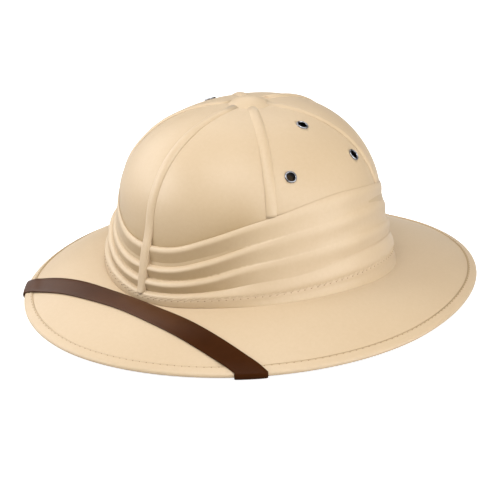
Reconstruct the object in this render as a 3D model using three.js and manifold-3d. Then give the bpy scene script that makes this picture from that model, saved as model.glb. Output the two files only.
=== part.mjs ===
import * as THREE from "three";
import { mergeVertices } from "three/addons/utils/BufferGeometryUtils.js";
import Module from "manifold-3d";

// Pith helmet, in millimetres. The front faces -Y, the wearer's left is +X.
// An angle runs round the helmet from the front (0) over the left side (90) to the back (180).
// Heights are measured from the level where the collar meets the brim.

// crown
const crownHeight = 105;
const crownWall = 3;
const crownInset = 7;
const crownTopShift = -0.6;
const crownBulge = { front: 3.42, side: 3.23, back: 2.99 };
const crownRound = { front: 2.35, side: 2.01, back: 2.68 };
const crownSegments = 56;
const crownLevels = 14;

// head plan, measured on the outside of the collar
const headHalfWidth = 96.2;
const headHalfLength = 98.6;
const headCentreY = -2.3;
const headEgg = 0.03;
const headSquare = 1.019;

// brim
const brimHalfWidth = 147.2;
const brimFrontReach = 158.5;
const brimRearReach = 173.5;
const brimEgg = -0.038;
const brimTaper = 0.017;
const brimSquare = { front: 1.037, rear: 1.08 };
const brimDrop = 21.5;
const brimSaddle = 2.8;
const brimNod = -0.4;
const brimSwell = 1.2;
const brimCurl = 1.6;
const brimThickness = 2.1;
const brimSegments = 64;

// binding along the brim's edge
const bindingWidth = 7.5;
const bindingWall = 0.9;
const bindingNose = 1.6;

// seam ribs, button and eyelets
const ribWidth = 6.5;
const ribHeight = 1.3;
const ribAngles = { front: 0, front_left: 56.1, back_left: 124.3, back: 180, back_right: -124.3, front_right: -56.1 };
const buttonRadius = 14.6;
const buttonHeight = 4.2;
const eyelets = [
  { name: "front", angle: 67, height: 75.9 },
  { name: "top", angle: 98, height: 97 },
  { name: "back", angle: 114, height: 77 },
];
const eyeletFlange = 4.1;
const eyeletBarrel = 2.6;
const eyeletBore = 2.2;

// chin strap
const strapWidth = 15.4;
const strapThickness = 1.5;
const strapFrontGap = 0.6;
const strapBow = 2.2;
const strapEnds = { back: 1.5, skew: 2 };
const strapFixing = { near: 60, far: 73, rise: 17 };

const gap = 0.35;

// The folded band: height of its four folds, of the collar's crest and of the collar's foot.
// "crisp" is how sharply the folds stand out.
const folds = [
  { angle: 0, first: 30.2, second: 17.9, third: 9.0, fourth: 3.9, crest: 1.6, foot: -4.9, crisp: 1.0 },
  { angle: 15, first: 32.6, second: 20.0, third: 10.8, fourth: 5.2, crest: 2.9, foot: -4.2, crisp: 1.0 },
  { angle: 30, first: 40.6, second: 27.2, third: 16.2, fourth: 7.8, crest: 4.8, foot: -1.6, crisp: 1.0 },
  { angle: 45, first: 49.0, second: 35.8, third: 24.0, fourth: 10.9, crest: 6.8, foot: 0.6, crisp: 0.9 },
  { angle: 60, first: 54.8, second: 41.4, third: 28.0, fourth: 14.4, crest: 8.3, foot: 2.3, crisp: 0.8 },
  { angle: 75, first: 59.2, second: 44.6, third: 30.6, fourth: 16.8, crest: 10.0, foot: 3.0, crisp: 0.65 },
  { angle: 90, first: 60.9, second: 46.4, third: 32.2, fourth: 18.2, crest: 10.8, foot: 2.6, crisp: 0.55 },
  { angle: 105, first: 58.8, second: 45.8, third: 31.6, fourth: 18.0, crest: 10.6, foot: 0.6, crisp: 0.6 },
  { angle: 120, first: 55.0, second: 43.0, third: 28.8, fourth: 16.0, crest: 8.6, foot: -1.6, crisp: 0.7 },
  { angle: 140, first: 47.5, second: 34.5, third: 22.0, fourth: 11.0, crest: 6.0, foot: -3.2, crisp: 0.8 },
  { angle: 160, first: 40.5, second: 27.0, third: 15.5, fourth: 7.6, crest: 4.2, foot: -4.4, crisp: 0.9 },
  { angle: 180, first: 37.0, second: 23.5, third: 13.0, fourth: 6.2, crest: 3.4, foot: -4.8, crisp: 0.9 },
];
// How far each fold stands out from the crown.
const foldDepth = { first: 1.9, second: 3.2, third: 4.5, fourth: 5.6 };
const foldNames = ["first", "second", "third", "fourth"];
const foldUndercut = 0.8;

const wasm = await Module();
wasm.setup();

const radians = THREE.MathUtils.degToRad;
const lerp = THREE.MathUtils.lerp;

function power(value, exponent) {
  return Math.sign(value) * Math.abs(value) ** exponent;
}

// A smooth value from the folds table, mirrored left to right.
function foldValue(column, angle) {
  let turn = Math.abs(THREE.MathUtils.radToDeg(angle)) % 360;
  if (turn > 180) turn = 360 - turn;
  const last = folds.length - 1;
  let i = 0;
  while (i < last - 1 && turn > folds[i + 1].angle) i += 1;
  const row = (k) => (k < 0 ? { ...folds[1], angle: -folds[1].angle }
    : k > last ? { ...folds[last - 1], angle: 360 - folds[last - 1].angle } : folds[k]);
  const [before, here, next, after] = [row(i - 1), row(i), row(i + 1), row(i + 2)];
  const span = next.angle - here.angle;
  const part = (turn - here.angle) / span;
  const slopeHere = ((next[column] - before[column]) / (next.angle - before.angle)) * span;
  const slopeNext = ((after[column] - here[column]) / (after.angle - here.angle)) * span;
  const p2 = part * part;
  const p3 = p2 * part;
  return (2 * p3 - 3 * p2 + 1) * here[column] + (p3 - 2 * p2 + part) * slopeHere
    + (3 * p2 - 2 * p3) * next[column] + (p3 - p2) * slopeNext;
}

// Outline of the head at a level, set in from the outside of the collar.
function headPlan(angle, inset) {
  const x = (headHalfWidth - inset) * power(Math.sin(angle), headSquare) * (1 - headEgg * Math.cos(angle));
  const y = headCentreY - (headHalfLength - inset) * power(Math.cos(angle), headSquare);
  return new THREE.Vector2(x, y);
}

function byDirection(values, angle) {
  const c = Math.cos(angle);
  const s = Math.sin(angle);
  return values.side * s * s + (c > 0 ? values.front : values.back) * c * c;
}

// A point of the crown's outside.
function domePoint(angle, height) {
  const w = THREE.MathUtils.clamp(height / crownHeight, 0, 1);
  const bulge = byDirection(crownBulge, angle);
  const round = byDirection(crownRound, angle);
  const shrink = (1 - w ** bulge) ** (1 / round);
  const plan = headPlan(angle, crownInset);
  const middle = lerp(headCentreY, crownTopShift, w * w);
  return new THREE.Vector3(plan.x * shrink, middle + (plan.y - headCentreY) * shrink, height);
}

// The crown's outward direction and the direction round it.
function domeFrame(angle, height) {
  const h = Math.min(height, crownHeight * 0.9995);
  const round = domePoint(angle + 0.01, h).sub(domePoint(angle - 0.01, h)).normalize();
  const up = domePoint(angle, h + 0.02).sub(domePoint(angle, h - 0.02)).normalize();
  const out = new THREE.Vector3().crossVectors(round, up).normalize();
  return { round, up, out };
}

function offDome(angle, height, distance) {
  return domePoint(angle, height).addScaledVector(domeFrame(angle, height).out, distance);
}

// Middle of the brim's thickness: share 0 is the outside of the collar, 1 the outer edge.
function brimMiddle(angle, share) {
  const c = Math.cos(angle);
  const s = Math.sin(angle);
  const reach = c > 0 ? brimFrontReach : brimRearReach;
  const square = c > 0 ? brimSquare.front : brimSquare.rear;
  const edgeX = brimHalfWidth * power(s, square) * (1 - brimEgg * c - brimTaper * (1 + Math.cos(2 * angle)));
  const edgeY = -reach * power(c, square);
  const edgeZ = -brimDrop - brimSaddle * Math.cos(2 * angle) - brimNod * c
    + brimSwell * (Math.cos(3 * angle) - c);
  const foot = headPlan(angle, 0);
  const footZ = foldValue("foot", angle) - brimThickness / 2;
  const down = Math.max(share, 0) ** brimCurl;
  return new THREE.Vector3(
    lerp(foot.x, edgeX, share),
    lerp(foot.y, edgeY, share),
    lerp(footZ, edgeZ, down),
  );
}

function brimWidth(angle) {
  const a = brimMiddle(angle, 0);
  const b = brimMiddle(angle, 1);
  return Math.hypot(a.x - b.x, a.y - b.y);
}

// Directions on the brim: outward along its slope, and up away from it.
function brimFrame(angle, share) {
  const s = Math.max(share, 0.02);
  const outward = brimMiddle(angle, s + 0.01).sub(brimMiddle(angle, s - 0.01)).normalize();
  const along = brimMiddle(angle + 0.01, s).sub(brimMiddle(angle - 0.01, s)).normalize();
  const up = new THREE.Vector3().crossVectors(outward, along).normalize();
  if (up.z < 0) up.negate();
  return { outward, up };
}

// The share that lies a given length up the slope from the brim's outer edge.
function shareFromEdge(angle, back) {
  const { outward } = brimFrame(angle, 0.97);
  return 1 - (back * Math.hypot(outward.x, outward.y)) / brimWidth(angle);
}

function offBrim(angle, share, distance) {
  return brimMiddle(angle, share).addScaledVector(brimFrame(angle, share).up, distance);
}

// The brim's angle and share under a point of the plan.
function brimUnder(x, y) {
  let angle = Math.atan2(x / headHalfWidth, -(y - headCentreY) / headHalfLength);
  let share = 0.5;
  for (let step = 0; step < 12; step += 1) {
    const p = brimMiddle(angle, share);
    const da = brimMiddle(angle + 1e-4, share).sub(p).divideScalar(1e-4);
    const ds = brimMiddle(angle, share + 1e-4).sub(p).divideScalar(1e-4);
    const ex = x - p.x;
    const ey = y - p.y;
    const det = da.x * ds.y - da.y * ds.x;
    angle += (ex * ds.y - ey * ds.x) / det;
    share += (ey * da.x - ex * da.y) / det;
  }
  return { angle, share };
}

// One closed body skinned over a chain of rings; a ring of one point is a pole.
function skin(rings, closed = false) {
  const points = [];
  const triangles = [];
  const starts = rings.map((ring) => {
    const start = points.length;
    points.push(...ring);
    return start;
  });
  const count = Math.max(...rings.map((ring) => ring.length));
  const links = closed ? rings.length : rings.length - 1;
  for (let i = 0; i < links; i += 1) {
    const next = (i + 1) % rings.length;
    for (let j = 0; j < count; j += 1) {
      const k = (j + 1) % count;
      const a = rings[i].length === 1 ? [starts[i], starts[i]] : [starts[i] + j, starts[i] + k];
      const b = rings[next].length === 1 ? [starts[next], starts[next]] : [starts[next] + j, starts[next] + k];
      if (a[0] !== a[1]) triangles.push([a[0], a[1], b[1]]);
      if (b[0] !== b[1]) triangles.push([a[0], b[1], b[0]]);
    }
  }
  let volume = 0;
  for (const [i, j, k] of triangles) {
    volume += points[i].dot(new THREE.Vector3().crossVectors(points[j], points[k]));
  }
  if (volume < 0) triangles.forEach((triangle) => triangle.reverse());
  const geometry = new THREE.BufferGeometry();
  geometry.setAttribute("position", new THREE.Float32BufferAttribute(points.flatMap((p) => [p.x, p.y, p.z]), 3));
  geometry.setIndex(triangles.flat());
  return geometry;
}

function ring(segments, place) {
  return Array.from({ length: segments }, (_, i) => place((i / segments) * 2 * Math.PI));
}

function centreOf(points) {
  return points.reduce((sum, p) => sum.add(p), new THREE.Vector3()).divideScalar(points.length);
}

// A body with flat ends over a row of sections.
function bar(sections) {
  return skin([[centreOf(sections[0])], ...sections, [centreOf(sections.at(-1))]]);
}

function asSolid(geometry) {
  const plain = geometry.clone();
  plain.deleteAttribute("normal");
  plain.deleteAttribute("uv");
  const merged = mergeVertices(plain, 1e-4);
  const mesh = new wasm.Mesh({
    numProp: 3,
    vertProperties: Float32Array.from(merged.attributes.position.array),
    triVerts: Uint32Array.from(merged.index.array),
  });
  return new wasm.Manifold(mesh);
}

function asGeometry(solid) {
  const mesh = solid.getMesh();
  const geometry = new THREE.BufferGeometry();
  geometry.setAttribute("position", new THREE.BufferAttribute(mesh.vertProperties, 3));
  geometry.setIndex(new THREE.BufferAttribute(mesh.triVerts, 1));
  return geometry;
}

const fabric = new THREE.MeshStandardMaterial({ color: 0xe0c79c, roughness: 0.8, metalness: 0 });
const leather = new THREE.MeshStandardMaterial({ color: 0x3f2317, roughness: 0.38, metalness: 0 });
const nickel = new THREE.MeshStandardMaterial({ color: 0xb9bcc2, roughness: 0.25, metalness: 1 });

const helmet = new THREE.Group();

function add(name, geometry, material) {
  geometry.computeVertexNormals();
  const mesh = new THREE.Mesh(geometry, material);
  mesh.name = name;
  helmet.add(mesh);
  return mesh;
}

// Heights of the crown's rings, closer together towards the top.
const levelHeights = Array.from({ length: crownLevels }, (_, i) => (1 - (1 - i / crownLevels) ** 1.9) * crownHeight);

// crown: a hollow shell with a flat rim, level with the brim's underside
function makeCrown() {
  const rim = (angle) => foldValue("foot", angle) - brimThickness;
  const inside = levelHeights.slice(1).filter((_, i) => i % 3 !== 1).reverse();
  const rings = [[offDome(0, crownHeight, 0).setZ(crownHeight - crownWall)]];
  for (const height of inside) rings.push(ring(crownSegments, (a) => offDome(a, height, -crownWall)));
  rings.push(ring(crownSegments, (a) => offDome(a, 0, -crownWall).setZ(rim(a))));
  rings.push(ring(crownSegments, (a) => offDome(a, 0, 0).setZ(rim(a))));
  for (const height of levelHeights.slice(1)) rings.push(ring(crownSegments, (a) => domePoint(a, height)));
  rings.push([domePoint(0, crownHeight)]);
  let shell = asSolid(skin(rings));
  for (const { angle, height } of eyeletPlaces()) {
    const drill = new THREE.CylinderGeometry(eyeletBarrel + gap, eyeletBarrel + gap, 14, 12);
    drill.applyMatrix4(eyeletMatrix(angle, height));
    shell = shell.subtract(asSolid(drill));
  }
  return asGeometry(shell);
}

function eyeletPlaces() {
  return eyelets.flatMap(({ name, angle, height }) => [
    { name: `eyelet_left_${name}`, angle: radians(angle), height },
    { name: `eyelet_right_${name}`, angle: radians(-angle), height },
  ]);
}

// Puts a shape whose axis is Y on the crown, Y pointing out.
function eyeletMatrix(angle, height) {
  const { round, out } = domeFrame(angle, height);
  const side = new THREE.Vector3().crossVectors(round, out).normalize();
  const across = new THREE.Vector3().crossVectors(out, side);
  const place = new THREE.Matrix4().makeBasis(across, out, side);
  return place.setPosition(domePoint(angle, height));
}

function makeEyelet(angle, height) {
  const profile = [
    [eyeletBore, -crownWall - 0.4],
    [eyeletBarrel, -crownWall - 0.4],
    [eyeletBarrel, gap],
    [eyeletFlange, gap],
    [eyeletFlange - 0.3, 0.95],
    [eyeletBore + 0.6, 1.05],
    [eyeletBore, 0.6],
  ];
  const rings = profile.map(([radius, out]) => ring(12, (a) => (
    new THREE.Vector3(radius * Math.cos(a), out, radius * Math.sin(a)).applyMatrix4(eyeletMatrix(angle, height)))));
  return skin(rings, true);
}

// band of cloth laid in four folds round the crown, on top of the collar
function makeFoldedBand() {
  const at = (height, distance) => (a) => offDome(a, height(a), distance(a));
  const steps = [];
  foldNames.forEach((name, i) => {
    const depth = foldDepth[name];
    const level = (a) => foldValue(name, a);
    const crisp = (a) => foldValue("crisp", a);
    const below = i < 3 ? (a) => foldValue(foldNames[i + 1], a) + 1.5 : (a) => foldValue("crest", a) + 1.0 + gap;
    const nextDepth = i < 3 ? foldDepth[foldNames[i + 1]] : depth;
    const tuck = (a) => lerp(lerp(depth, nextDepth, 0.35), depth - (i < 3 ? foldUndercut : 0.2), crisp(a));
    steps.push(at((a) => level(a) + 0.9, () => depth - 0.8));
    steps.push(at((a) => level(a) - 0.5 - 0.8 * (1 - crisp(a)), () => depth));
    steps.push(at(below, tuck));
  });
  // inside of the band, close to the crown at the top and standing off below
  steps.push(at((a) => foldValue("crest", a) + 1.0 + gap, () => foldDepth.fourth - 2.8));
  steps.push(at((a) => foldValue("third", a), () => foldDepth.third - 3.0));
  steps.push(at((a) => foldValue("second", a), () => foldDepth.second - 2.6));
  steps.push(at((a) => foldValue("first", a) - 4, () => gap));
  steps.push(at((a) => foldValue("first", a) + 1.2, () => gap));
  return skin(steps.map((place) => ring(crownSegments, place)), true);
}

// collar: the upstanding wall round the crown's foot, with a rounded crest and a top to the crown
function makeCollar() {
  const full = crownInset;
  const section = [
    { from: "foot", rise: gap, out: full },
    { from: "foot", rise: 2.4, out: full - 0.15 },
    { from: "crest", rise: -1.0, out: full - 0.25 },
    { from: "crest", rise: 0.3, out: full - 0.7 },
    { from: "crest", rise: 0.9, out: full - 1.6 },
    { from: "crest", rise: 1.0, out: gap },
    { from: "crest", rise: -1.2, out: gap },
    { from: "crest", rise: -1.2, out: full - 3.0 },
    { from: "foot", rise: gap, out: full - 2.6 },
  ];
  return skin(section.map(({ from, rise, out }) => ring(crownSegments, (a) => (
    offDome(a, 0, out).setZ(foldValue(from, a) + rise)))), true);
}

function makeBrim() {
  const half = brimThickness / 2;
  const shares = [0, 0.22, 0.45, 0.7];
  const edge = (a) => shareFromEdge(a, bindingNose);
  const inner = (side) => (a) => offDome(a, 0, gap).setZ(foldValue("foot", a) - half + side * half);
  const rings = [inner(1)];
  for (const share of shares) rings.push((a) => offBrim(a, share, half));
  rings.push((a) => offBrim(a, edge(a), half));
  rings.push((a) => offBrim(a, edge(a), -half));
  for (const share of [...shares].reverse()) rings.push((a) => offBrim(a, share, -half));
  rings.push(inner(-1));
  return skin(rings.map((place) => ring(brimSegments, place)), true);
}

// binding: a strip of the same cloth folded round the brim's edge
function makeBinding() {
  const inside = brimThickness / 2 + gap;
  const outside = inside + bindingWall;
  const section = [
    { back: bindingWidth, lift: inside },
    { back: bindingWidth - 0.4, lift: outside },
    { back: 2.2, lift: outside },
    { back: 0.6, lift: outside * 0.7 },
    { back: 0, lift: 0 },
    { back: 0.6, lift: -outside * 0.7 },
    { back: 2.2, lift: -outside },
    { back: bindingWidth, lift: -outside },
    { back: bindingWidth, lift: -inside },
    { back: bindingNose - gap, lift: -inside },
    { back: bindingNose - gap, lift: inside },
  ];
  return skin(section.map(({ back, lift }) => ring(brimSegments, (a) => (
    offBrim(a, shareFromEdge(a, back), lift)))), true);
}

// Section of a seam rib standing on the crown.
function ribSection(angle, height, lift, wide) {
  const { round, out } = domeFrame(angle, height);
  const foot = domePoint(angle, height).addScaledVector(out, lift);
  const half = (ribWidth / 2) * wide;
  const shape = [
    [-half, 0], [-half, ribHeight * 0.5], [-half * 0.72, ribHeight],
    [half * 0.72, ribHeight], [half, ribHeight * 0.5], [half, 0],
  ];
  return shape.map(([across, up]) => foot.clone().addScaledVector(round, across).addScaledVector(out, up));
}

function makeRib(angle, overBand) {
  const turn = radians(angle);
  const end = foldValue("first", turn) + (overBand ? 4.5 : 2.2);
  const top = crownHeight * 0.9968;
  const heights = levelHeights.filter((height) => height > end + 3 && height < top - 1);
  const sections = [top, ...heights.reverse(), end].map((height) => ribSection(turn, height, gap, 1));
  if (overBand) {
    foldNames.forEach((name) => {
      sections.push(ribSection(turn, foldValue(name, turn) + 0.6, foldDepth[name] + gap, 1));
    });
    const crest = foldValue("crest", turn);
    sections.push(ribSection(turn, crest + 1.2, crownInset + 0.25, 0.95));
    sections.push(ribSection(turn, crest - 0.6, crownInset + gap, 0.6));
  }
  return bar(sections);
}

// button: a low covered cap over the ends of the ribs
function makeButton() {
  const seat = gap + ribHeight + gap;
  const profile = [
    { radius: buttonRadius * 0.5, up: seat - 0.1 },
    { radius: buttonRadius - 1.2, up: seat - 0.8 },
    { radius: buttonRadius, up: seat - 0.2 },
    { radius: buttonRadius - 0.3, up: seat + 0.5 },
    { radius: buttonRadius - 2.2, up: lerp(seat, buttonHeight, 0.68) },
    { radius: buttonRadius * 0.5, up: lerp(seat, buttonHeight, 0.93) },
  ];
  const centre = new THREE.Vector3(0, crownTopShift, crownHeight);
  const rings = profile.map(({ radius, up }) => ring(28, (a) => (
    new THREE.Vector3(radius * Math.sin(a), -radius * Math.cos(a), up).add(centre))));
  const pole = (up) => [centre.clone().setZ(crownHeight + up)];
  return skin([pole(seat), ...rings, pole(buttonHeight)]);
}

// chin strap: over the front of the brim, round both edges, back under the brim and up inside the crown
function makeStrap() {
  const half = brimThickness / 2;
  const thin = strapThickness / 2;
  const wrapRadius = half + gap + bindingWall + gap + thin;
  const frontLine = headCentreY - headHalfLength - strapFrontGap - strapWidth / 2;
  // one line along the strap at a given offset from its middle, on the wearer's left (side 1) or right (-1)
  function line(offset, side) {
    const middleY = (x) => frontLine - strapBow * Math.sin((x / 105) * Math.PI)
      + strapEnds.back * (x / 105) ** 2 + strapEnds.skew * side * (x / 105);
    const planY = (x) => {
      const { angle, share } = brimUnder(x, middleY(x));
      const { up } = brimFrame(angle, share);
      return middleY(x) - (offset * up.z) / Math.hypot(up.y, up.z);
    };
    let crossing = 60;
    for (let step = 24; step > 0.01; step /= 1.6) {
      while (brimUnder(crossing + step, planY(crossing + step)).share < 1) crossing += step;
    }
    const { angle } = brimUnder(crossing, planY(crossing));
    const edgeShare = shareFromEdge(angle, wrapRadius - thin - gap);
    const edge = brimMiddle(angle, edgeShare);
    const bindingRamp = (place) => {
      const back = (1 - place.share) * brimWidth(place.angle);
      return (bindingWall + gap) * (1 - THREE.MathUtils.smoothstep(back, bindingWidth, bindingWidth + 6));
    };
    const path = [];
    const lay = (x, y, face) => {
      const place = brimUnder(x, y);
      const { up } = brimFrame(place.angle, place.share);
      const point = brimMiddle(place.angle, place.share);
      const lift = half + 0.55 + thin + bindingRamp(place);
      path.push({ point: point.addScaledVector(up, face * lift), out: up.clone().multiplyScalar(face) });
    };
    for (const part of [0, 0.14, 0.28, 0.42, 0.55, 0.67, 0.78, 0.86, 0.92]) {
      const x = edge.x * part;
      lay(x, lerp(planY(x), edge.y, part ** 8), 1);
    }
    const { outward, up } = brimFrame(angle, edgeShare);
    for (const turn of [10, 40, 70, 100, 130, 160]) {
      const out = up.clone().multiplyScalar(Math.cos(radians(turn)));
      out.addScaledVector(outward, Math.sin(radians(turn)));
      path.push({ point: edge.clone().addScaledVector(out, wrapRadius), out });
    }
    const fixAngle = radians(lerp(strapFixing.near, strapFixing.far, 0.5 - offset / strapWidth));
    const rimPlan = headPlan(fixAngle, crownInset - 2);
    for (const part of [0.1, 0.2, 0.4, 0.6, 0.8, 1]) {
      lay(lerp(edge.x, rimPlan.x, part), lerp(edge.y, rimPlan.y, part), -1);
    }
    const wallOut = domeFrame(fixAngle, 0).out;
    const rim = foldValue("foot", fixAngle) - brimThickness;
    const inward = wallOut.clone().negate();
    const wall = crownWall + gap + thin;
    const corner = offDome(fixAngle, 0, -crownWall / 2).setZ(rim - gap - thin);
    path.push({ point: corner, out: new THREE.Vector3(0, 0, -1) });
    const bend = offDome(fixAngle, 0, -wall - 0.3).setZ(rim - gap - thin + 0.3);
    path.push({ point: bend, out: inward.clone().setZ(-1).normalize() });
    for (const rise of [1.5, strapFixing.rise * 0.5, strapFixing.rise]) {
      path.push({ point: offDome(fixAngle, Math.max(rim + rise, 0), -wall).setZ(rim + rise), out: inward });
    }
    return path;
  }
  const offsets = [-strapWidth / 2, 0, strapWidth / 2];
  const halves = { left: offsets.map((offset) => line(offset, 1)), right: offsets.map((offset) => line(offset, -1)) };
  const section = (i, mirror) => {
    const lines = mirror ? halves.right : halves.left;
    const flip = (v) => (mirror ? new THREE.Vector3(-v.x, v.y, v.z) : v.clone());
    const at = ({ point, out }, side) => flip(point).addScaledVector(flip(out), side * thin);
    const low = lines.map((path) => at(path[i], -1));
    const high = lines.map((path) => at(path[i], 1)).reverse();
    return [...low, ...high];
  };
  const count = halves.left[0].length;
  const right = Array.from({ length: count - 1 }, (_, i) => section(count - 1 - i, true));
  const left = Array.from({ length: count }, (_, i) => section(i, false));
  return bar([...right, ...left]);
}

add("crown", makeCrown(), fabric);
add("folded_band", makeFoldedBand(), fabric);
add("collar", makeCollar(), fabric);
add("brim", makeBrim(), fabric);
add("brim_binding", makeBinding(), fabric);
for (const [place, angle] of Object.entries(ribAngles)) {
  add(`rib_${place}`, makeRib(angle, place === "front"), fabric);
}
add("crown_button", makeButton(), fabric);
for (const { name, angle, height } of eyeletPlaces()) {
  add(name, makeEyelet(angle, height), nickel);
}
add("chin_strap", makeStrap(), leather);

// Stand the helmet on its lowest point, centred over the origin.
const box = new THREE.Box3().setFromObject(helmet);
helmet.position.set(0, -(box.min.y + box.max.y) / 2, -box.min.z);

export default helmet;
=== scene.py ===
import math
import bpy
import bmesh
import numpy as np
from mathutils import Matrix, Vector


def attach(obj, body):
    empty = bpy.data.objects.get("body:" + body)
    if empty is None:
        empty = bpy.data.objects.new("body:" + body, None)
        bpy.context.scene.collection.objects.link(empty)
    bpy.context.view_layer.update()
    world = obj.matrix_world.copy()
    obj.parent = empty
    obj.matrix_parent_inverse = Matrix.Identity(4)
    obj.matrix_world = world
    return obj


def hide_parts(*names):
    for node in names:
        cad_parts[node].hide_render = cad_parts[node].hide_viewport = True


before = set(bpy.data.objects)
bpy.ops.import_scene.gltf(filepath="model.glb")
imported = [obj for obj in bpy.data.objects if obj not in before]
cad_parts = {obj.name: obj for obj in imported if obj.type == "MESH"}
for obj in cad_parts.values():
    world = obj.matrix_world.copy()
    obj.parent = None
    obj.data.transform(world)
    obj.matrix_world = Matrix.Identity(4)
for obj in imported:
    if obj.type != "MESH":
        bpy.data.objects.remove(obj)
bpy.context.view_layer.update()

mm = 0.001
seat = np.array([0.0, -7.4236, 26.0508])    # where the helmet's own origin stands, in mm
scene = bpy.context.scene


# the helmet's shape in mm and degrees, 0 in front and growing towards the wearer's left
# close to the solids' sizes, with thinner sheets and slacker folds on the wearer's right

crownShape = {
    "height": 105.0, "wall": 3.0, "inset": 7.0, "topShift": -0.6,
    "radius": 90.0,    # a rough one, which turns the tuck and the dent into shares
    "bulge": (3.42, 3.23, 2.99),    # front, side, back
    "round": (2.35, 2.01, 2.68),
    "tuck": 1.0, "tuckStarts": (0.0, 32.0), "tuckEnds": (38.0, 62.0),    # cloth drawn in above the band
    "dent": 1.2, "dentAt": -50.0, "dentReach": 34.0, "dentStarts": (22.0, 34.0),    # one flatter shoulder
    "waist": 0.9, "waistStarts": (40.0, 54.0), "waistEnds": (66.0, 80.0),    # heights the dent spares
}
headShape = {"halfWidth": 96.2, "halfLength": 98.6, "centreY": -2.3, "egg": 0.03, "square": 1.019}
brimShape = {
    "halfWidth": 147.2, "frontReach": 158.5, "rearReach": 173.5, "egg": -0.038, "taper": 0.017,
    "squareFront": 1.037, "squareRear": 1.08, "drop": 21.9, "saddle": 2.8, "nod": -0.4, "swell": 1.2,
    "curl": 1.6, "thickness": 1.9, "narrow": 0.024,    # the wearer's right is a touch narrower
}
foldRows = {
    "angle": (0, 15, 30, 45, 60, 75, 90, 105, 120, 140, 160, 180),
    "first": (30.2, 32.6, 40.6, 49.0, 54.8, 59.2, 60.9, 58.8, 55.0, 47.5, 40.5, 37.0),
    "second": (17.9, 20.0, 27.2, 35.8, 41.4, 44.6, 46.4, 45.8, 43.0, 34.5, 27.0, 23.5),
    "third": (9.0, 10.8, 16.2, 24.0, 28.0, 30.6, 32.2, 31.6, 28.8, 22.0, 15.5, 13.0),
    "fourth": (1.0, 3.2, 7.2, 10.9, 14.4, 16.8, 18.2, 18.0, 16.0, 11.0, 7.6, 6.2),
    "crest": (-1.0, 1.0, 4.2, 6.8, 8.3, 10.0, 10.8, 10.6, 8.6, 6.0, 4.2, 3.4),
    "foot": (-4.9, -4.2, -1.6, 0.6, 2.3, 3.0, 2.6, 0.6, -1.6, -3.2, -4.4, -4.8),
}
foldDepth = {"first": 2.5, "second": 4.0, "third": 5.3}
foldSag = {    # the folds hang lower on the wearer's right
    "first": 3.5, "second": 3.5, "third": 0.5, "at": -42.0, "reach": 22.0,
}
halfTurn = np.linspace(0, 180, 721)


# a row of the table as a smooth curve through its values, over half a turn
def smoothTable(column):
    angles = np.array(foldRows["angle"], float)
    values = np.array(foldRows[column], float)
    angles = np.concatenate([[-angles[1]], angles, [360 - angles[-2]]])
    values = np.concatenate([[values[1]], values, [values[-2]]])
    slopes = np.zeros_like(values)
    slopes[1:-1] = (values[2:] - values[:-2]) / (angles[2:] - angles[:-2])
    i = np.clip(np.searchsorted(angles, halfTurn, side="right") - 1, 1, len(angles) - 3)
    span = angles[i + 1] - angles[i]
    t = (halfTurn - angles[i]) / span
    return ((2 * t**3 - 3 * t**2 + 1) * values[i] + (t**3 - 2 * t**2 + t) * slopes[i] * span
            + (3 * t**2 - 2 * t**3) * values[i + 1] + (t**3 - t**2) * slopes[i + 1] * span)


foldCurves = {name: smoothTable(name) for name in foldRows if name != "angle"}


def foldValue(column, angle):
    away = wrapDegrees(angle)
    sag = foldSag.get(column, 0) * softBump(away - foldSag["at"], foldSag["reach"])
    return np.interp(np.abs(away), halfTurn, foldCurves[column]) - sag


def wrapDegrees(angle):
    return np.degrees(np.arctan2(np.sin(angle), np.cos(angle)))


def easeStep(x):
    x = np.clip(x, 0, 1)
    return x * x * (3 - 2 * x)


def easeBetween(x, span):
    return easeStep((x - span[0]) / (span[1] - span[0]))


# a smooth bump that is 1 at the middle
def softBump(x, reach):
    return np.exp(-(x / reach) ** 2)


def power(value, exponent):
    return np.sign(value) * np.abs(value) ** exponent


def stack(x, y, z):
    return np.stack(np.broadcast_arrays(x, y, z), -1).astype(float)


# the egg-shaped plan of the head, drawn in by the inset
def headPlan(angle, inset):
    h = headShape
    x = (h["halfWidth"] - inset) * power(np.sin(angle), h["square"]) * (1 - h["egg"] * np.cos(angle))
    y = h["centreY"] - (h["halfLength"] - inset) * power(np.cos(angle), h["square"])
    return x, y


# blends three values given for the front, the sides and the back
def byDirection(values, angle):
    c, s = np.cos(angle), np.sin(angle)
    return values[1] * s * s + np.where(c > 0, values[0], values[2]) * c * c


def domePoint(angle, height):
    c = crownShape
    w = np.clip(height / c["height"], 0, 1)
    shrink = (1 - w ** byDirection(c["bulge"], angle)) ** (1 / byDirection(c["round"], angle))
    tuck = c["tuck"] * easeBetween(height, c["tuckStarts"]) * (1 - easeBetween(height, c["tuckEnds"]))
    near = softBump(wrapDegrees(angle - math.radians(c["dentAt"])), c["dentReach"])
    waist = 1 - c["waist"] * (easeBetween(height, c["waistStarts"]) - easeBetween(height, c["waistEnds"]))
    dent = c["dent"] * near * easeBetween(height, c["dentStarts"]) * waist
    shrink = shrink * (1 - (tuck + dent) / c["radius"])
    x, y = headPlan(angle, c["inset"])
    middle = headShape["centreY"] + (c["topShift"] - headShape["centreY"]) * w * w
    return stack(x * shrink, middle + (y - headShape["centreY"]) * shrink, height)


def unit(v):
    return v / np.maximum(np.linalg.norm(v, axis=-1, keepdims=True), 1e-9)


# the ways round, up and out on the crown
def domeFrame(angle, height):
    h = np.minimum(height, crownShape["height"] * 0.9995)
    around = unit(domePoint(angle + 0.01, h) - domePoint(angle - 0.01, h))
    up = unit(domePoint(angle, h + 0.02) - domePoint(angle, h - 0.02))
    return around, up, unit(np.cross(around, up))


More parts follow.
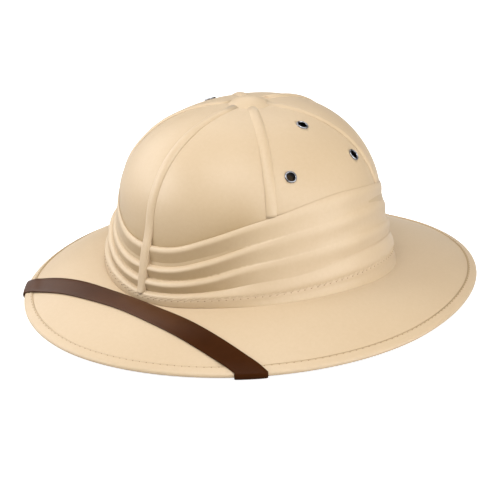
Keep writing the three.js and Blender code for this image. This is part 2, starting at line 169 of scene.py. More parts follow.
def offDome(angle, height, distance):
    out = domeFrame(angle, height)[2]
    return domePoint(angle, height) + out * np.asarray(distance, float)[..., None]


# the brim's middle surface: share is 0 at the crown and 1 at the edge
def brimMiddle(angle, share):
    b = brimShape
    c, s = np.cos(angle), np.sin(angle)
    reach = np.where(c > 0, b["frontReach"], b["rearReach"])
    square = np.where(c > 0, b["squareFront"], b["squareRear"])
    edgeX = b["halfWidth"] * power(s, square) * (1 - b["egg"] * c - b["taper"] * (1 + np.cos(2 * angle)))
    edgeX = edgeX * (1 - b["narrow"] * ((1 - s) / 2) ** 2)
    edgeY = -reach * power(c, square)
    edgeZ = -b["drop"] - b["saddle"] * np.cos(2 * angle) - b["nod"] * c
    edgeZ = edgeZ + b["swell"] * (np.cos(3 * angle) - c)
    footX, footY = headPlan(angle, 0)
    footZ = foldValue("foot", angle) - b["thickness"] / 2
    down = np.maximum(share, 0) ** b["curl"]
    x = footX + (edgeX - footX) * share
    y = footY + (edgeY - footY) * share
    return stack(x, y, footZ + (edgeZ - footZ) * down)


def brimWidth(angle):
    d = brimMiddle(angle, 0.0) - brimMiddle(angle, 1.0)
    return np.hypot(d[..., 0], d[..., 1])


def brimFrame(angle, share):
    s = np.maximum(share, 0.02)
    outward = unit(brimMiddle(angle, s + 0.01) - brimMiddle(angle, s - 0.01))
    along = unit(brimMiddle(angle + 0.01, s) - brimMiddle(angle - 0.01, s))
    up = unit(np.cross(outward, along))
    return outward, up * np.where(up[..., 2:] < 0, -1, 1)


def offBrim(angle, share, distance):
    return brimMiddle(angle, share) + brimFrame(angle, share)[1] * np.asarray(distance, float)[..., None]


# the share that lies so many mm back from the edge
def shareFromEdge(angle, back):
    outward = brimFrame(angle, 0.97 + 0 * angle)[0]
    return 1 - back * np.hypot(outward[..., 0], outward[..., 1]) / brimWidth(angle)


# the brim's angle and share under a place given in plan, by Newton's steps
def brimUnder(x, y):
    h = headShape
    angle = math.atan2(x / h["halfWidth"], -(y - h["centreY"]) / h["halfLength"])
    share = 0.5
    tiny = 1e-4
    for _ in range(12):
        point = brimMiddle(angle, share)
        byAngle = (brimMiddle(angle + tiny, share) - point) / tiny
        byShare = (brimMiddle(angle, share + tiny) - point) / tiny
        missX, missY = x - point[0], y - point[1]
        area = byAngle[0] * byShare[1] - byAngle[1] * byShare[0]
        angle += (missX * byShare[1] - missY * byShare[0]) / area
        share += (missY * byAngle[0] - missX * byAngle[1]) / area
    return angle, share


# mesh helpers

def newObject(name, bm, material):
    mesh = bpy.data.meshes.new(name)
    bm.to_mesh(mesh)
    bm.free()
    obj = bpy.data.objects.new(name, mesh)
    scene.collection.objects.link(obj)
    mesh.materials.append(material)
    for polygon in mesh.polygons:
        polygon.use_smooth = True
    return obj


# merges seams and poles that meet, and turns the faces out
def closeUp(bm):
    bmesh.ops.remove_doubles(bm, verts=bm.verts, dist=2e-6)
    bmesh.ops.recalc_face_normals(bm, faces=bm.faces)


# bends a grid to rows of points; the attribute given here is painted shade, which darkens the colour fully
# at 1
def gridPiece(name, points, material, paintedShade=None):
    rows, columns = points.shape[:2]
    bm = bmesh.new()
    uvLayer = bm.loops.layers.uv.new("cloth")
    paintedShadeLayer = bm.verts.layers.float.new("paintedShade")
    bmesh.ops.create_grid(bm, x_segments=rows - 1, y_segments=columns - 1, size=1.0)
    steps = np.linalg.norm(np.diff(points, axis=0), axis=-1)
    lengthU = np.concatenate([[0], np.cumsum(steps.max(axis=1))])
    steps = np.linalg.norm(np.diff(points, axis=1), axis=-1)
    lengthV = np.concatenate([[0], np.cumsum(np.median(steps, axis=0))])
    place = {}
    for vert in bm.verts:
        row, column = (vert.co.x + 1) / 2 * (rows - 1), (vert.co.y + 1) / 2 * (columns - 1)
        place[vert] = (round(row), round(column))
    for face in bm.faces:
        for loop in face.loops:
            i, j = place[loop.vert]
            loop[uvLayer].uv = (lengthU[i], lengthV[j])
    world = (points + seat) * mm
    for vert, (i, j) in place.items():
        vert.co = world[i, j]
        vert[paintedShadeLayer] = 0.0 if paintedShade is None else float(paintedShade[i, j])
    closeUp(bm)
    return newObject(name, bm, material)


# a body over a row of closed sections, with its two ends drawn shut
def barPiece(name, sections, material, paintedShade=None):
    sections = np.asarray(sections)
    first = np.repeat(sections[:1].mean(axis=1, keepdims=True), sections.shape[1], axis=1)
    last = np.repeat(sections[-1:].mean(axis=1, keepdims=True), sections.shape[1], axis=1)
    points = np.concatenate([first, sections, last])
    points = np.concatenate([points, points[:, :1]], axis=1)
    if paintedShade is not None:
        paintedShade = np.repeat(np.array([paintedShade[0], *paintedShade, paintedShade[-1]])[:, None], points.shape[1], axis=1)
    return gridPiece(name, points, material, paintedShade)


# closes each section on its own start, and the ring of sections on the first of them
def closeRing(rows):
    points = np.stack([*rows, rows[0]], axis=1)
    points[-1] = points[0]
    return points


# turns a profile of radius and height into a closed round body
def spinProfile(profile, steps, ring=False):
    bm = bmesh.new()
    verts = [bm.verts.new((radius * mm, 0, z * mm)) for radius, z in profile]
    nexts = verts[1:] + verts[:1] if ring else verts[1:]
    edges = [bm.edges.new(pair) for pair in zip(verts, nexts)]
    bmesh.ops.spin(bm, geom=verts + edges, cent=(0, 0, 0), axis=(0, 0, 1), angle=2 * math.pi,
                   steps=steps, use_merge=True)
    closeUp(bm)
    return bm


def applyModifiers(obj):
    bpy.context.view_layer.update()
    graph = bpy.context.evaluated_depsgraph_get()
    mesh = bpy.data.meshes.new_from_object(obj.evaluated_get(graph))
    obj.modifiers.clear()
    obj.data = mesh


# seven sine waves in random directions
def smoothNoise(x, y, z, seed):
    total = np.zeros(np.broadcast(x, y, z).shape)
    rng = np.random.default_rng(seed)
    for _ in range(7):
        direction = rng.normal(size=3)
        direction /= np.linalg.norm(direction)
        scale = rng.uniform(0.6, 1.6)
        phase = rng.uniform(0, 6.28)
        total = total + np.sin((x * direction[0] + y * direction[1] + z * direction[2]) * scale + phase)
    return total / 7


turn = np.linspace(0, 2 * np.pi, 385)    # where the sections stand round the helmet


# materials

def nodesOf(name):
    material = bpy.data.materials.new(name)
    material.use_nodes = True
    tree = material.node_tree
    shader = tree.nodes["Principled BSDF"]
    return material, tree, shader


def add(tree, kind, **values):
    node = tree.nodes.new(kind)
    for key, value in values.items():
        if hasattr(node, key) and not key[0].isupper():
            setattr(node, key, value)
        else:
            node.inputs[key.replace("_", " ")].default_value = value
    return node


# a colour that drifts from dark to light, with painted shade multiplied in by an attribute
def paintedShadedColour(tree, shader, pattern, look):
    link = tree.links.new
    ramp = add(tree, "ShaderNodeValToRGB")
    for element, position, colour in zip(ramp.color_ramp.elements, look["drift"], ("dark", "light")):
        element.position = position
        element.color = look[colour]
    link(pattern, ramp.inputs["Fac"])
    # painted shade: this attribute darkens the colour towards the shade tint
    paintedShade = add(tree, "ShaderNodeAttribute", attribute_name="paintedShade")
    deepen = add(tree, "ShaderNodeMix", data_type="RGBA", blend_type="MULTIPLY")
    # the colour sockets of a Mix node: 0 is the factor, 6 and 7 are A and B, and output 2 is the result
    deepen.inputs[7].default_value = look["deep"]
    link(paintedShade.outputs["Fac"], deepen.inputs[0])
    link(ramp.outputs["Color"], deepen.inputs[6])
    link(deepen.outputs[2], shader.inputs["Base Color"])
    return paintedShade.outputs["Fac"]


clothLook = {
    "light": (0.54, 0.41, 0.265, 1), "dark": (0.505, 0.376, 0.235, 1), "drift": (0.3, 0.7),
    "deep": (0.7, 0.64, 0.5, 1),    # the tint that painted shade multiplies into the colour, fully down in a fold
    "roughness": 0.44, "specular": 0.5, "sheen": 0.08,
    "thread": 0.42, "twill": 52.0, "weaveDepth": 0.035, "slubDepth": 0.24,    # mm, and degrees for the twill
}


def makeCloth(name, look):
    material, tree, shader = nodesOf(name)
    link = tree.links.new
    coords = add(tree, "ShaderNodeTexCoord")
    # slow drift of the dye with a finer one in it
    drift = add(tree, "ShaderNodeTexNoise", Scale=14.0, Detail=3.0, Roughness=0.6)
    link(coords.outputs["Object"], drift.inputs["Vector"])
    fine = add(tree, "ShaderNodeTexNoise", Scale=420.0, Detail=2.0, Roughness=0.55)
    link(coords.outputs["Object"], fine.inputs["Vector"])
    mixNoise = add(tree, "ShaderNodeMix", data_type="FLOAT")
    mixNoise.inputs["Factor"].default_value = 0.4
    link(drift.outputs["Fac"], mixNoise.inputs["A"])
    link(fine.outputs["Fac"], mixNoise.inputs["B"])
    paintedShadedColour(tree, shader, mixNoise.outputs["Result"], look)
    # twill: fine threads that follow the cloth, whose UV map is in mm
    uv = add(tree, "ShaderNodeUVMap", uv_map="cloth")
    threads = add(tree, "ShaderNodeMapping")
    threads.inputs["Rotation"].default_value = (0, 0, math.radians(look["twill"]))
    link(uv.outputs["UV"], threads.inputs["Vector"])
    wave = add(tree, "ShaderNodeTexWave", wave_type="BANDS", bands_direction="X", wave_profile="SIN",
               Scale=2 * math.pi / look["thread"] / 20.0, Distortion=0.6, Detail=1.0)
    wave.inputs["Detail Scale"].default_value = 3.0
    link(threads.outputs["Vector"], wave.inputs["Vector"])
    weft = add(tree, "ShaderNodeTexNoise", Scale=1.6, Detail=2.0)
    stretch = add(tree, "ShaderNodeMapping")
    stretch.inputs["Scale"].default_value = (0.35, 2.4, 1)
    link(uv.outputs["UV"], stretch.inputs["Vector"])
    link(stretch.outputs["Vector"], weft.inputs["Vector"])
    sumUp = add(tree, "ShaderNodeMix", data_type="FLOAT")
    sumUp.inputs["Factor"].default_value = 0.45
    link(wave.outputs["Fac"], sumUp.inputs["A"])
    link(weft.outputs["Fac"], sumUp.inputs["B"])
    weave = add(tree, "ShaderNodeBump", Strength=0.35, Distance=look["weaveDepth"] * mm)
    link(sumUp.outputs["Result"], weave.inputs["Height"])
    # and a slow unevenness of the thread
    slub = add(tree, "ShaderNodeTexNoise", Scale=55.0, Detail=2.0)
    link(coords.outputs["Object"], slub.inputs["Vector"])
    uneven = add(tree, "ShaderNodeBump", Strength=0.25, Distance=look["slubDepth"] * mm)
    link(slub.outputs["Fac"], uneven.inputs["Height"])
    link(weave.outputs["Normal"], uneven.inputs["Normal"])
    link(uneven.outputs["Normal"], shader.inputs["Normal"])
    shader.inputs["Roughness"].default_value = look["roughness"]
    shader.inputs["Specular IOR Level"].default_value = look["specular"]
    shader.inputs["Sheen Weight"].default_value = look["sheen"]
    shader.inputs["Sheen Roughness"].default_value = 0.45
    return material


leatherLook = {
    "light": (0.07, 0.0245, 0.0075, 1), "dark": (0.046, 0.0155, 0.0045, 1), "drift": (0.3, 0.72),
    "deep": (0.62, 0.5, 0.3, 1), "roughness": 0.38, "grain": 0.05,
    "shine": 0.14, "dullShine": 0.035,    # the far end of the strap gets painted shade and less reflection
}


def makeLeather(name, look):
    material, tree, shader = nodesOf(name)
    link = tree.links.new
    coords = add(tree, "ShaderNodeTexCoord")
    drift = add(tree, "ShaderNodeTexNoise", Scale=30.0, Detail=4.0)
    link(coords.outputs["Object"], drift.inputs["Vector"])
    paintedShade = paintedShadedColour(tree, shader, drift.outputs["Fac"], look)
    # where shade is painted, the reflection is turned down too: a painted reflection
    dull = add(tree, "ShaderNodeMapRange")
    dull.inputs["To Min"].default_value = look["shine"]
    dull.inputs["To Max"].default_value = look["dullShine"]
    link(paintedShade, dull.inputs["Value"])
    link(dull.outputs["Result"], shader.inputs["Specular IOR Level"])
    grain = add(tree, "ShaderNodeTexVoronoi", Scale=900.0)
    link(coords.outputs["Object"], grain.inputs["Vector"])
    bump = add(tree, "ShaderNodeBump", Strength=0.3, Distance=look["grain"] * mm)
    link(grain.outputs["Distance"], bump.inputs["Height"])
    link(bump.outputs["Normal"], shader.inputs["Normal"])
    shader.inputs["Roughness"].default_value = look["roughness"]
    return material


metalLook = {"smooth": 0.16, "smudged": 0.34, "coolness": 1.06}


# low and high are the greys between which the smudges drift
def makeMetal(name, low, high):
    look = metalLook
    material, tree, shader = nodesOf(name)
    link = tree.links.new
    coords = add(tree, "ShaderNodeTexCoord")
    smudge = add(tree, "ShaderNodeTexNoise", Scale=300.0, Detail=3.0)
    link(coords.outputs["Object"], smudge.inputs["Vector"])
    spread = add(tree, "ShaderNodeMapRange")
    spread.inputs["To Min"].default_value = look["smooth"]
    spread.inputs["To Max"].default_value = look["smudged"]
    link(smudge.outputs["Fac"], spread.inputs["Value"])
    link(spread.outputs["Result"], shader.inputs["Roughness"])
    tint = add(tree, "ShaderNodeValToRGB")
    for element, grey in zip(tint.color_ramp.elements, (low, high)):
        element.color = (grey, grey, grey * look["coolness"], 1)
    link(smudge.outputs["Fac"], tint.inputs["Fac"])
    link(tint.outputs["Color"], shader.inputs["Base Color"])
    shader.inputs["Metallic"].default_value = 1.0
    return material


# dark dots of painted shade where the needle holes sink into the cloth
needleHoleShadeLook = dict(clothLook, light=(0.33, 0.21, 0.11, 1), dark=(0.2, 0.12, 0.06, 1), sheen=0.0)

cloth = makeCloth("sandCloth", clothLook)
needleHoleShade = makeCloth("needleHoleShade", needleHoleShadeLook)
leather = makeLeather("brownLeather", leatherLook)
nickel = makeMetal("nickel", 0.22, 0.38)
# near-black metal painted into the bore, where shade falls inside the hole
nickelShadedBore = makeMetal("nickelShadedBore", 0.012, 0.02)
print("materials made")


# camera and light

cameraPlace = {    # mm and degrees
    "position": (931.89, -935.06, 521.58), "target": (7.216, -15.609, 32.076),
    "lens": 151.32, "sensor": 36.0, "roll": -0.51,
}


def makeCamera(values):
    data = bpy.data.cameras.new("camera")
    data.lens = values["lens"]
    data.sensor_width = values["sensor"]
    data.clip_end = 20.0
    obj = bpy.data.objects.new("camera", data)
    scene.collection.objects.link(obj)
    position = Vector(values["position"]) * mm
    look = (Vector(values["target"]) * mm - position).normalized()
    turned = look.to_track_quat("-Z", "Y").to_matrix().to_4x4()
    roll = Matrix.Rotation(math.radians(values["roll"]), 4, "Z")
    obj.matrix_world = Matrix.Translation(position) @ turned @ roll
    scene.camera = obj


studio = {
    "lampSize": 1.0, "lampDistance": 1.7, "aimHeight": 0.05, "towardCamera": 45.0,    # metres and degrees
    "backdrop": 1.0, "fill": 0.08,    # the world as the camera sees it, and as it lights the helmet
    "floorSeen": 0.9, "floorGlow": 0.12, "floorGrey": 0.5, "floorHalf": 6.0,
}

# soft boxes round the helmet: degrees to the right of the camera, degrees up, watts
lamps = [
    {"name": "lowBackLeft", "round": -120, "up": 8, "power": 3.4},
    {"name": "lowRight", "round": 70, "up": 8, "power": 14.9},
    {"name": "backLeft", "round": -135, "up": 25, "power": 5.9},
    {"name": "sideLeft", "round": -110, "up": 25, "power": 3.1},
    {"name": "keyLeft", "round": -85, "up": 25, "power": 17.5},
    {"name": "frontRight", "round": 40, "up": 25, "power": 12.0},
    {"name": "highBackLeft", "round": -135, "up": 50, "power": 2.7},
    {"name": "highFront", "round": 0, "up": 50, "power": 9.3},
    {"name": "highRight", "round": 40, "up": 50, "power": 2.7},
    {"name": "highBack", "round": 180, "up": 50, "power": 5.1},
    {"name": "topLeft", "round": -20, "up": 68, "power": 10.8},
    {"name": "overhead", "round": 0, "up": 89, "power": 1.6},
]


# one value to the camera's own rays and another to all the rest
def seenOrNot(tree, toCamera, toRest):
    path = add(tree, "ShaderNodeLightPath")
    choice = add(tree, "ShaderNodeMapRange")
    choice.inputs["To Min"].default_value = toRest
    choice.inputs["To Max"].default_value = toCamera
    tree.links.new(path.outputs["Is Camera Ray"], choice.inputs["Value"])
    return choice.outputs["Result"]


def makeLight():
    for lamp in lamps:
        data = bpy.data.lights.new(lamp["name"], "AREA")
        data.shape = "SQUARE"
        data.size = studio["lampSize"]
        data.energy = lamp["power"]
        obj = bpy.data.objects.new(lamp["name"], data)
        bearing, up = math.radians(studio["towardCamera"] + lamp["round"]), math.radians(lamp["up"])
        toLamp = Vector((math.sin(bearing) * math.cos(up), -math.cos(bearing) * math.cos(up), math.sin(up)))
        obj.location = toLamp * studio["lampDistance"] + Vector((0, 0, studio["aimHeight"]))
        obj.rotation_euler = toLamp.to_track_quat("Z", "Y").to_euler()
        scene.collection.objects.link(obj)
    world = bpy.data.worlds.new("studio")
    world.use_nodes = True
    background = world.node_tree.nodes["Background"]
    background.inputs["Color"].default_value = (1, 1, 1, 1)
    seen = seenOrNot(world.node_tree, studio["backdrop"], studio["fill"])
    world.node_tree.links.new(seen, background.inputs["Strength"])
    scene.world = world
    scene.view_settings.view_transform = "Standard"


def makeFloor():
    bm = bmesh.new()
    bmesh.ops.create_grid(bm, x_segments=1, y_segments=1, size=studio["floorHalf"])
    material, tree, shader = nodesOf("paleFloor")
    shader.inputs["Base Color"].default_value = (*[studio["floorGrey"]] * 3, 1)
    shader.inputs["Roughness"].default_value = 0.9
    shader.inputs["Specular IOR Level"].default_value = 0.0
    shader.inputs["Emission Color"].default_value = (1, 1, 1, 1)
    seen = seenOrNot(tree, studio["floorSeen"], studio["floorGlow"])
    tree.links.new(seen, shader.inputs["Emission Strength"])
    floor = newObject("floor", bm, material)


makeCamera(cameraPlace)
makeLight()
makeFloor()
print("camera, light and floor made")


# crown

crownLook = {
    "rows": 84, "rowSpacing": 1.9, "hole": 2.95,
    "seamValley": 0.35, "seamReach": 7.0, "waver": 0.12, "waverSize": 14.0, "calmTop": 8.0,
    # painted shade: the cloth is darkened a little just above the band, more in front than at the sides
    "shade": 0.9, "shadeReach": 16.0, "shadeLess": 0.8, "shadeSides": (40.0, 60.0),
}
ribAngles = {
    "front": 0.0, "front_left": 56.1, "back_left": 124.3,
    "back": 180.0, "back_right": -124.3, "front_right": -56.1,
}
eyeletPlaces = {    # degrees and height
    "left_front": (67.0, 75.9), "left_top": (98.0, 97.0), "left_back": (114.0, 77.0),
    "right_front": (-67.0, 75.9), "right_top": (-98.0, 97.0), "right_back": (-114.0, 77.0),
}


def seamDistance(angle, point):
    radius = np.hypot(point[..., 0], point[..., 1] - crownShape["topShift"])
    gaps = [np.abs(wrapDegrees(angle - math.radians(seam))) for seam in ribAngles.values()]
    return np.radians(np.minimum.reduce(gaps)) * radius


# the cloth sinks a little beside each seam and wavers a little everywhere
def crownRelief(angle, height):
    look = crownLook
    point = domePoint(angle, height)
    fade = np.clip((crownShape["height"] * 0.985 - height) / look["calmTop"], 0, 1)
    valley = -look["seamValley"] * softBump(seamDistance(angle, point), look["seamReach"])
    x, y, z = np.moveaxis(point / look["waverSize"], -1, 0)
    return (valley + look["waver"] * smoothNoise(x, y, z, seed=3)) * fade


# heights that stand closer together towards the top
def crownHeights(rows):
    rise = np.linspace(0, 1, rows)
    return (1 - (1 - rise) ** crownLook["rowSpacing"]) * crownShape["height"]


def makeCrown():
    look = crownLook
    angle, height = np.meshgrid(turn, crownHeights(look["rows"]), indexing="ij")
    points = offDome(angle, height, crownRelief(angle, height))
    points[:, -1] = domePoint(0.0, crownShape["height"])
    rim = foldValue("foot", angle[:, :1]) - brimShape["thickness"]
    low = np.concatenate([points[:, :1, :2], rim[..., None]], -1)
    points = np.concatenate([low, points], axis=1)
    points[-1] = points[0]
    # painted shade, fading upwards from the first fold and weaker at the sides
    above = np.maximum(height - foldValue("first", angle), 0)
    front = 1 - look["shadeLess"] * easeBetween(np.abs(wrapDegrees(angle)), look["shadeSides"])
    paintedShade = look["shade"] * front * np.exp(-above / look["shadeReach"])
    crown = gridPiece("crown_shell", points, cloth, np.concatenate([paintedShade[:, :1], paintedShade], axis=1))
    openHoles(crown, look["hole"])
    solid = crown.modifiers.new("wall", "SOLIDIFY")
    solid.thickness = crownShape["wall"] * mm
    solid.offset = -1
    applyModifiers(crown)
    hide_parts("crown")
    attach(crown, "root")


# takes out the cloth under each eyelet and draws the edge that's left to a circle
def openHoles(crown, radius):
    bm = bmesh.new()
    bm.from_mesh(crown.data)
    for degrees, height in eyeletPlaces.values():
        matrix = eyeletMatrix(degrees, height)
        back = matrix.inverted()
        inside = [vert for vert in bm.verts if (vert.co - matrix.translation).length < radius * mm]
        bmesh.ops.delete(bm, geom=inside, context="VERTS")
        for vert in bm.verts:
            if vert.is_boundary and (vert.co - matrix.translation).length < radius * 3 * mm:
                local = back @ vert.co
                stretch = radius * mm / math.hypot(local.x, local.y)
                vert.co = matrix @ Vector((local.x * stretch, local.y * stretch, local.z))
    bm.to_mesh(crown.data)
    bm.free()


# frame on the crown whose Z points out
def eyeletMatrix(degrees, height):
    angle, height = np.array(math.radians(degrees)), np.array(height)
    around, _, out = domeFrame(angle, height)
    place = (domePoint(angle, height) + seat) * mm
    matrix = Matrix((around, np.cross(out, around), out)).transposed().to_4x4()
    return Matrix.Translation(place) @ matrix


eyeletLook = {"bore": 2.75, "barrel": 2.95, "flange": 4.05, "rise": 0.95, "inside": 3.5, "wall": 0.15}


def makeEyelets():
    bore, barrel, flange, rise, inside, wall = eyeletLook.values()
    # half section of a rolled eyelet: radius and height above the cloth
    profile = [
        (bore, -inside), (bore + wall, -inside - wall), (barrel, -inside), (barrel, -0.1),
        (flange - 0.5, 0.05), (flange - 0.05, 0.12), (flange, 0.3), (flange - 0.15, 0.6),
        (flange - 0.5, rise - 0.1), (flange - 0.8, rise), (bore + 0.3, rise - 0.2),
        (bore + 0.05, rise - 0.6), (bore, -0.2),
    ]
    for name, (degrees, height) in eyeletPlaces.items():
        bm = spinProfile(profile, steps=40, ring=True)
        matrix = eyeletMatrix(degrees, height)
        bmesh.ops.transform(bm, matrix=matrix, verts=bm.verts)
        ringPiece = newObject("rolled_eyelet_" + name, bm, nickel)
        ringPiece.data.materials.append(nickelShadedBore)
        # painted shade: the bore below the lip takes a near-black metal
        back = matrix.inverted()
        for polygon in ringPiece.data.polygons:
            spot = back @ polygon.center
            if math.hypot(spot.x, spot.y) < (bore + wall) * mm and spot.z < 0.25 * mm:
                polygon.material_index = 1
        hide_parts("eyelet_" + name)
        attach(ringPiece, "root")


makeCrown()
makeEyelets()
print("crown and eyelets made")


# folded band

# crisp folds in front and behind, soft waves at the sides; softAngles are degrees from the front
bandLook = {
    "bead": 4.2, "beadRound": 2.3, "undercut": 2.2, "lip": 0.25, "above": 1.0, "below": 0.2,
    "rows": 20, "rowSpacing": 1.6, "waver": 0.2, "waverCount": 9,
    "wave": 0.5, "levels": (0.6, 1.9, 3.3, 4.8),    # the soft cloth's wave, and its height at each fold
    # how far each fold flattens, and round which angles: beside the dent and at the wearer's left back
    "thin": (0.65, 0.58, 0.14, 0.05), "flatPlaces": ((-52.0, 1.0), (130.0, 0.75)), "flatSpread": 1000.0,
    "softAngles": (0, 28, 38, 45, 52, 62, 80, 95, 110, 120, 140, 160, 180),
    "crisp": (1.0, 1.0, 0.8, 0.5, 0.2, 0.04, 0.02, 0.03, 0.05, 0.08, 0.3, 0.65, 0.75),
    "waves": (1.0, 1.0, 0.8, 0.6, 0.4, 0.3, 0.5, 1.1, 1.2, 1.0, 1.0, 1.0, 1.0),
    "crispRight": {"further": 18.0, "at": -45.0, "reach": 25.0},    # degrees, on the wearer's right
    "shadeSoft": 0.05, "shadeCrisp": 0.7, "shadeHidden": 0.5,    # painted shade under the beads and on the hidden back
    # the hidden back of the band: how far out it lies behind the third, second and first fold
    "backOut": {"third": 2.0, "second": 1.2, "first": 0.05}, "backTurn": 1.2, "backDrop": 4.0,
}


# 1 where the folds are crisp and 0 where they have gone soft
def crispness(angle):
    away = wrapDegrees(angle)
    right = bandLook["crispRight"]
    further = np.where(away < 0, right["further"] * softBump(away - right["at"], right["reach"]), 0)
    return np.interp(np.abs(away) - further, bandLook["softAngles"], bandLook["crisp"])


# rows from the top of the band down its face and up its back, each with out, height and painted shade
def bandSection(angle):
    b = bandLook
    folds = list(foldDepth)
    away = wrapDegrees(angle)
    crisp = crispness(angle)
    waves = np.interp(np.abs(away), b["softAngles"], b["waves"])
    flat = sum(share * np.exp(-(away - at) ** 2 / b["flatSpread"]) for at, share in b["flatPlaces"])
    wobble = smoothNoise(angle * b["waverCount"], 0 * angle, 0 * angle, seed=5) * b["waver"]
    tops = [foldValue(name, angle) + b["above"] + wobble for name in folds]
    tops.append(foldValue("fourth", angle) - b["below"])
    rows = []
    low = np.full_like(angle, b["lip"])
    for k, name in enumerate(folds):
        keep = 1 - b["thin"][k] * flat
        high = foldDepth[name] * keep
        tucked = high - b["undercut"] * keep
        span = tops[k] - tops[k + 1]
        bead = np.minimum(b["bead"] / span, 0.7)
        for u in np.linspace(0, 1, b["rows"]) ** b["rowSpacing"]:
            x = np.clip(u / bead, 0, 1)
            beadOut = low + (high - low) * (1 - (1 - x) ** b["beadRound"]) ** 0.5
            faceOut = high - (high - tucked) * np.clip((u - bead * 0.7) / (1 - bead * 0.7), 0, 1)
            sharp = np.minimum(beadOut, faceOut)
            level = b["levels"][k] + (b["levels"][k + 1] - b["levels"][k]) * u
            thin = b["thin"][k] + (b["thin"][k + 1] - b["thin"][k]) * u
            soft = level * (1 - flat * thin) + b["wave"] * waves * math.sin(2 * math.pi * u)
            # painted shade below each bead, stronger where the folds are crisp
            shade = b["shadeSoft"] + b["shadeCrisp"] * crisp
            deep = easeStep((u - bead * 0.5) / (bead * 0.6)) * shade
            rows.append((soft + (sharp - soft) * crisp, tops[k] - span * u, deep))
        low = tucked
    hidden = np.full_like(angle, b["shadeHidden"])
    rows.append((rows[-1][0] - b["backTurn"], tops[3] + 0.2, hidden))
    for name, out in b["backOut"].items():
        drop = b["backDrop"] if name == "first" else 0
        rows.append((0 * angle + out, foldValue(name, angle) - drop, hidden))
    rows.append((0 * angle, tops[0] - 0.3, hidden))
    return rows


def makeBand():
    rows = bandSection(turn)
    points = closeRing([offDome(turn, height, out) for out, height, _ in rows])
    # painted shade down in the folds, from each row's third value
    paintedShade = np.stack([deep for _, _, deep in rows + rows[:1]], axis=1)
    band = gridPiece("pleated_band", points, cloth, paintedShade)
    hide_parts("folded_band")
    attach(band, "root")


makeBand()
print("folded band made")


# collar: a crest with a stitched groove in its face

collarLook = {
    "face": 6.75, "tucked": 2.8, "bead": 3.2, "over": 0.8, "groove": 0.25, "grooveWidth": 0.9,
    "undercut": 0.2, "underGroove": 1.5,
    # how the crest softens at the sides, and how its foot runs out onto the brim there
    "longer": 7.0, "thinner": 0.7, "nearer": 1.35, "higher": 4.0,
    "sunk": 0.85, "flare": 2.6, "flareRise": 6.0, "footGap": 0.15,
    "stitchRows": (0.9, 0.6, 0.3, 0.0, -0.3, -0.6, -0.9, -1.3),    # fine rows over the groove
    "footOut": 3.4, "middleOut": 1.2, "topOut": 0.9, "topDrop": 2.5,    # the hidden back
    "shade": 0.2, "shadeBelow": 0.8, "shadeReach": 5.0,    # painted shade on the cloth under the stitches
}


def collarTop(angle):
    return foldValue("fourth", angle) + collarLook["over"] + collarLook["higher"] * (1 - crispness(angle))


def collarOut(angle, height):
    c = collarLook
    stitch, foot = foldValue("crest", angle), foldValue("foot", angle)
    soft = 1 - crispness(angle)
    x = np.clip((collarTop(angle) - height) / (c["bead"] + c["longer"] * soft), 0, 1)
    rounding = np.sqrt(1 - (1 - x) ** 2) * (1 - soft) + easeStep(x) * soft
    face = c["face"] - c["thinner"] * soft
    tucked = c["tucked"] + c["nearer"] * soft
    out = tucked + (face - tucked) * rounding
    out = out - c["groove"] * softBump(height - stitch, c["grooveWidth"])
    out = out + c["flare"] * soft * np.clip(1 - (height - foot) / c["flareRise"], 0, 1) ** 2
    under = stitch - c["underGroove"]
    return out - c["undercut"] * np.clip((under - height) / (under - foot), 0, 1) ** 1.3


def makeCollar():
    c = collarLook
    around = np.linspace(0, 2 * np.pi, 577)
    top = collarTop(around)
    stitch, foot = foldValue("crest", around), foldValue("foot", around)
    bottom = foot + c["footGap"] - c["sunk"] * (1 - crispness(around))
    first, last = stitch + c["stitchRows"][0] + 0.2, stitch + c["stitchRows"][-1]
    heights = [top + (first - top) * x for x in np.linspace(0, 1, 16) ** 1.9]
    heights += [stitch + row for row in c["stitchRows"]]
    heights += [last + (bottom - last) * x for x in np.linspace(0.15, 1, 8)]
    section = [(collarOut(around, height), height) for height in heights]
    section.append((0 * around + c["footOut"], bottom))
    section.append((0 * around + c["middleOut"], (foot + stitch) / 2))
    section.append((0 * around + c["topOut"], top - c["topDrop"]))
    rows = []
    for out, height in section:
        row = offDome(around, np.maximum(height, 0), out)
        row[:, 2] = height
        rows.append(row)
    points = closeRing(rows)
    # painted shade under the stitches, growing downwards
    paintedShade = np.clip((stitch[:, None] - c["shadeBelow"] - points[..., 2]) / c["shadeReach"], 0, c["shade"])
    collar = gridPiece("rolled_collar", points, cloth, paintedShade)
    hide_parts("collar")
    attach(collar, "root")


# brim and its binding

bindingLook = {
    "width": 7.5, "wall": 0.6, "gap": 0.08, "round": 2.2, "grip": 1.3, "brimBack": 1.6,
    # painted shadow along the sewn inner edge, strongest at the sides and the back
    "shade": 1.0, "shadeFront": 0.3, "shadeSides": (30.0, 65.0),
}


def makeBrim():
    half = brimShape["thickness"] / 2
    edge = shareFromEdge(turn, bindingLook["brimBack"])
    foot = foldValue("foot", turn)
    inner = offDome(turn, 0 * turn, 0.3 + 0 * turn)
    shares = [edge * part for part in np.linspace(0, 1, 30)]
    rows = [stack(inner[:, 0], inner[:, 1], foot)]
    rows += [offBrim(turn, share, half + 0 * turn) for share in shares]
    rows += [offBrim(turn, share, -half + 0 * turn) for share in reversed(shares)]
    rows.append(stack(inner[:, 0], inner[:, 1], foot - 2 * half))
    brim = gridPiece("brim_shell", closeRing(rows), cloth)
    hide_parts("brim")
    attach(brim, "root")


